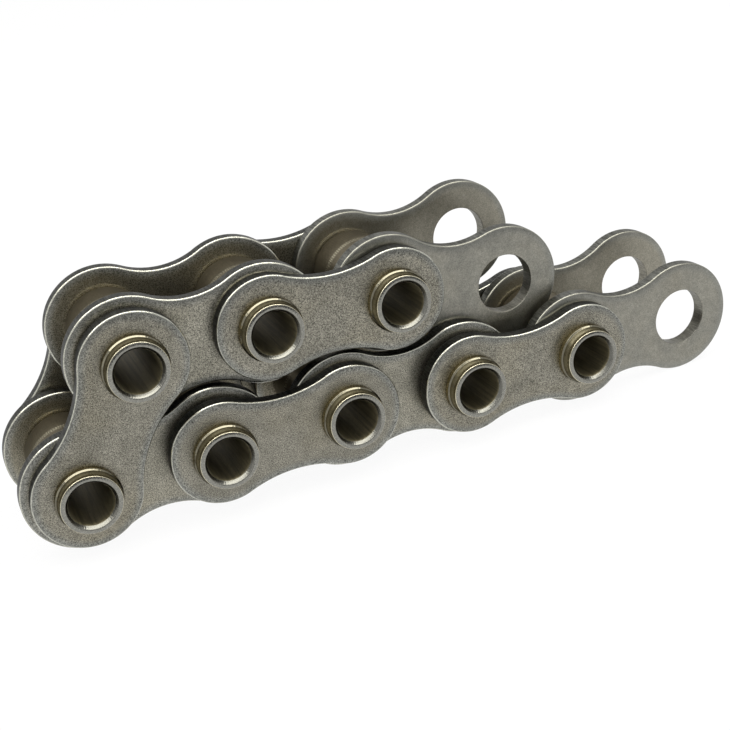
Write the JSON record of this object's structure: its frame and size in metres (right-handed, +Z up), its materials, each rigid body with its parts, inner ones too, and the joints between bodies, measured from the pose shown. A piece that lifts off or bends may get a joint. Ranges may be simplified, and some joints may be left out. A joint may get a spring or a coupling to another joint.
{
  "type": "hollow pin conveyor chain",
  "caption": "Short length of hollow pin conveyor chain folded back on itself, with loose rollers, open ends and pins that take cross rods.",
  "frame": {"origin": "bottom centre of the whole folded chain, on the surface it stands on, half way along it and half way across its pins", "axes": "+X along the lower run, from the fold towards the open ends; +Y along the pins, from the front plates to the back plates; +Z up, from the lower run to the upper run"},
  "size_m": [0.1126, 0.03, 0.0338],
  "materials": {
    "inner_plate": "tumbled satin stainless steel",
    "outer_plate": "tumbled satin stainless steel",
    "hollow_pin": "turned and polished stainless steel",
    "roller": "turned stainless steel"
  },
  "bodies": {
    "inner_link_c": {"inner_plate_c_front": "inner_plate", "inner_plate_c_back": "inner_plate"},
    "outer_link_1": {"outer_plate_1_front": "outer_plate", "outer_plate_1_back": "outer_plate", "hollow_pin_1": "hollow_pin", "hollow_pin_2": "hollow_pin"},
    "outer_link_2": {"outer_plate_2_front": "outer_plate", "outer_plate_2_back": "outer_plate", "hollow_pin_3": "hollow_pin", "hollow_pin_4": "hollow_pin"},
    "outer_link_3": {"outer_plate_3_front": "outer_plate", "outer_plate_3_back": "outer_plate", "hollow_pin_5": "hollow_pin", "hollow_pin_6": "hollow_pin"},
    "outer_link_4": {"outer_plate_4_front": "outer_plate", "outer_plate_4_back": "outer_plate", "hollow_pin_7": "hollow_pin", "hollow_pin_8": "hollow_pin"},
    "inner_link_b": {"inner_plate_b_front": "inner_plate", "inner_plate_b_back": "inner_plate"},
    "inner_link_d": {"inner_plate_d_front": "inner_plate", "inner_plate_d_back": "inner_plate"},
    "inner_end_a_front": {"inner_plate_a_front": "inner_plate"},
    "inner_end_a_back": {"inner_plate_a_back": "inner_plate"},
    "inner_end_e_front": {"inner_plate_e_front": "inner_plate"},
    "inner_end_e_back": {"inner_plate_e_back": "inner_plate"},
    "roller_1": {"roller_1": "roller"},
    "roller_2": {"roller_2": "roller"},
    "roller_3": {"roller_3": "roller"},
    "roller_4": {"roller_4": "roller"},
    "roller_5": {"roller_5": "roller"},
    "roller_6": {"roller_6": "roller"},
    "roller_7": {"roller_7": "roller"},
    "roller_8": {"roller_8": "roller"}
  },
  "joints": [
    {"name": "pin_4_hinge", "type": "hinge", "parent": "inner_link_c", "child": "outer_link_2", "pos_m": [-0.04761, 0.0004, 0.0087], "axis": [0, -1, 0], "range_deg": [0, 205]},
    {"name": "pin_3_hinge", "type": "hinge", "parent": "outer_link_2", "child": "inner_link_b", "pos_m": [-0.03789, 0.0004, 0.02508], "axis": [0, 1, 0], "range_deg": [-180, 0]},
    {"name": "pin_2_hinge", "type": "hinge", "parent": "inner_link_b", "child": "outer_link_1", "pos_m": [-0.01884, 0.0012, 0.02491], "axis": [0, -1, 0], "range_deg": [0, 120]},
    {"name": "pin_1_front_hinge", "type": "hinge", "parent": "outer_link_1", "child": "inner_end_a_front", "pos_m": [0.0002, 0.0012, 0.02413], "axis": [0, 1, 0], "range_deg": [-115, 0]},
    {"name": "pin_1_back_hinge", "type": "hinge", "parent": "outer_link_1", "child": "inner_end_a_back", "pos_m": [0.0002, 0.0012, 0.02413], "axis": [0, 1, 0], "range_deg": [-115, 0]},
    {"name": "pin_5_hinge", "type": "hinge", "parent": "inner_link_c", "child": "outer_link_3", "pos_m": [-0.02858, -0.0004, 0.0095], "axis": [0, -1, 0], "range_deg": [-120, 0]},
    {"name": "pin_6_hinge", "type": "hinge", "parent": "outer_link_3", "child": "inner_link_d", "pos_m": [-0.00953, -0.0004, 0.0095], "axis": [0, 1, 0], "range_deg": [0, 100]},
    {"name": "pin_7_hinge", "type": "hinge", "parent": "inner_link_d", "child": "outer_link_4", "pos_m": [0.00951, -0.0012, 0.00895], "axis": [0, -1, 0], "range_deg": [-120, 0]},
    {"name": "pin_8_front_hinge", "type": "hinge", "parent": "outer_link_4", "child": "inner_end_e_front", "pos_m": [0.02856, -0.0012, 0.00875], "axis": [0, 1, 0], "range_deg": [-110, 120]},
    {"name": "pin_8_back_hinge", "type": "hinge", "parent": "outer_link_4", "child": "inner_end_e_back", "pos_m": [0.02856, -0.0012, 0.00875], "axis": [0, 1, 0], "range_deg": [-110, 120]},
    {"name": "roller_1_spin", "type": "hinge", "parent": "outer_link_1", "child": "roller_1", "pos_m": [0.0002, 0.0016, 0.02413], "axis": [0, 1, 0], "continuous": true},
    {"name": "roller_2_spin", "type": "hinge", "parent": "outer_link_1", "child": "roller_2", "pos_m": [-0.01884, 0.0008, 0.02491], "axis": [0, 1, 0], "continuous": true},
    {"name": "roller_3_spin", "type": "hinge", "parent": "outer_link_2", "child": "roller_3", "pos_m": [-0.03789, 0.0008, 0.02508], "axis": [0, 1, 0], "continuous": true},
    {"name": "roller_4_spin", "type": "hinge", "parent": "outer_link_2", "child": "roller_4", "pos_m": [-0.04761, 0, 0.0087], "axis": [0, 1, 0], "continuous": true},
    {"name": "roller_5_spin", "type": "hinge", "parent": "outer_link_3", "child": "roller_5", "pos_m": [-0.02858, 0, 0.0095], "axis": [0, 1, 0], "continuous": true},
    {"name": "roller_6_spin", "type": "hinge", "parent": "outer_link_3", "child": "roller_6", "pos_m": [-0.00953, -0.0008, 0.0095], "axis": [0, 1, 0], "continuous": true},
    {"name": "roller_7_spin", "type": "hinge", "parent": "outer_link_4", "child": "roller_7", "pos_m": [0.00951, -0.0008, 0.00895], "axis": [0, 1, 0], "continuous": true},
    {"name": "roller_8_spin", "type": "hinge", "parent": "outer_link_4", "child": "roller_8", "pos_m": [0.02856, -0.0016, 0.00875], "axis": [0, 1, 0], "continuous": true}
  ]
}
